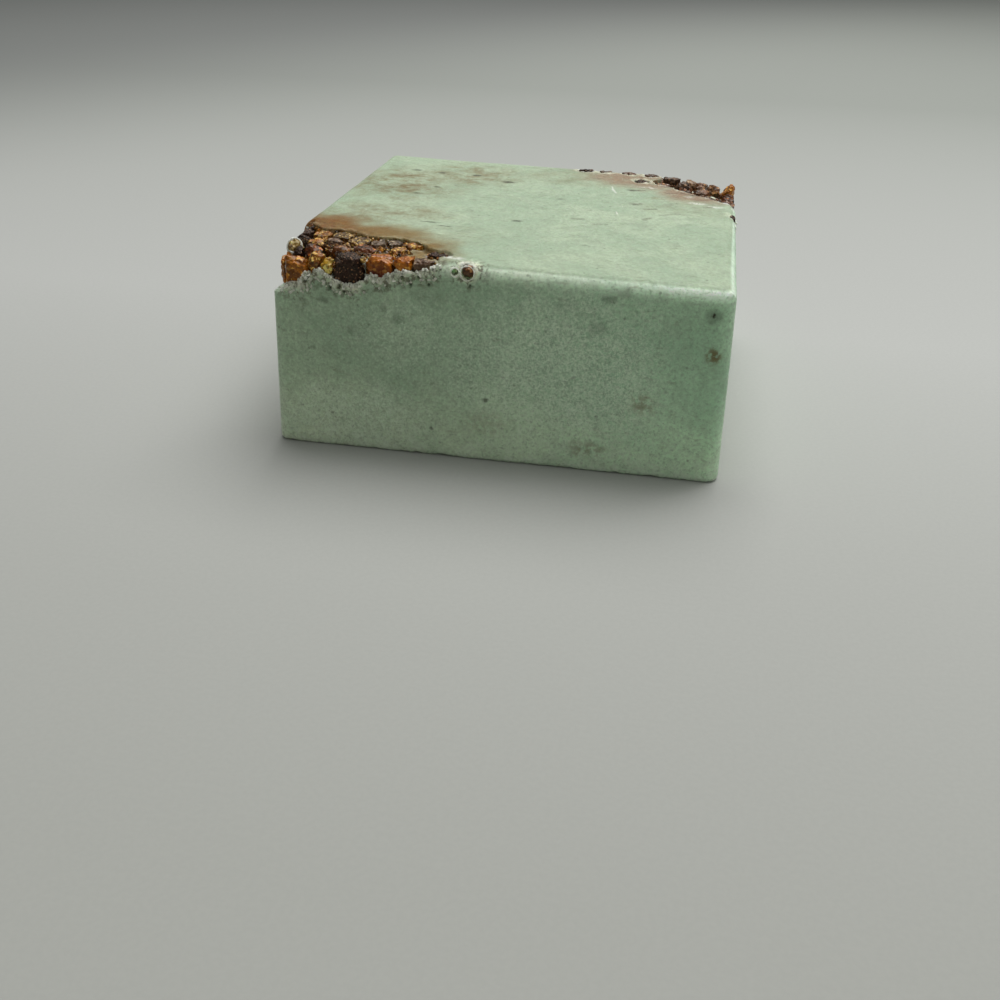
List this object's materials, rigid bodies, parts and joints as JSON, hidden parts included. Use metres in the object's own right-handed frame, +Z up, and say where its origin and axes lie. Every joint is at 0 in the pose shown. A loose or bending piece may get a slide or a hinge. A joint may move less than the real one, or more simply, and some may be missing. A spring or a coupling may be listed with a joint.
{
  "type": "bar of soap",
  "caption": "Square hand-poured bar of pale green soap with rough amber and dark resin lumps set in two opposite corners of its top face.",
  "frame": {"origin": "centre of the flat base, at the level that the bar rests on", "axes": "+Z up through the thickness, +X along the long front face towards the right, -Y out of the front face; the resin clusters are at the corners -X -Y and +X +Y of the top"},
  "size_m": [0.066, 0.066, 0.0297],
  "materials": {
    "soap": "satin, waxy",
    "amber_resin": "glossy, translucent",
    "gold_resin": "glossy, translucent",
    "brown_resin": "glossy",
    "dark_resin": "glossy",
    "grey_resin": "satin, dusty"
  },
  "bodies": {
    "root": {"amber_lump_corner": "amber_resin", "amber_lump_front": "amber_resin", "amber_lump_side": "amber_resin", "amber_lump_small": "amber_resin", "amber_shard": "amber_resin", "black_brown_lump": "dark_resin", "black_lump_back": "dark_resin", "black_lump_back_left": "dark_resin", "black_lump_back_right": "dark_resin", "black_lump_low": "dark_resin", "black_lump_middle": "dark_resin", "black_sliver_back": "dark_resin", "brown_gold_lump_front": "gold_resin", "brown_lump_back": "brown_resin", "brown_lump_edge_left": "brown_resin", "brown_lump_edge_middle": "brown_resin", "brown_lump_edge_right": "brown_resin", "brown_lump_side": "brown_resin", "brown_sliver_edge": "brown_resin", "dark_knot": "dark_resin", "dark_lump_back_low": "dark_resin", "dark_lump_corner": "dark_resin", "dark_lump_large": "dark_resin", "dark_lump_side_low": "dark_resin", "dark_lump_small": "dark_resin", "dark_sliver_back": "dark_resin", "dark_sliver_top": "dark_resin", "edge_crumb": "dark_resin", "edge_granule": "brown_resin", "flat_black_lump": "dark_resin", "flat_brown_lump": "brown_resin", "gold_black_lump": "gold_resin", "gold_lump_bright": "gold_resin", "gold_lump_low": "gold_resin", "gold_lump_middle": "gold_resin", "gold_sliver": "gold_resin", "grey_lump_front": "grey_resin", "grey_sliver_back": "grey_resin", "grey_spike_left": "grey_resin", "grey_spike_right": "grey_resin", "maroon_lump_long": "brown_resin", "maroon_lump_small": "brown_resin", "mauve_lump": "grey_resin", "mauve_lump_side": "grey_resin", "olive_gold_lump": "gold_resin", "orange_lump_large": "amber_resin", "orange_lump_small": "amber_resin", "pale_bead": "gold_resin", "red_brown_lump_edge": "brown_resin", "red_brown_lump_side": "brown_resin", "soap_block": "soap", "thin_dark_lump": "dark_resin", "thin_grey_lump": "grey_resin", "yellow_gold_lump": "gold_resin"}
  },
  "joints": []
}
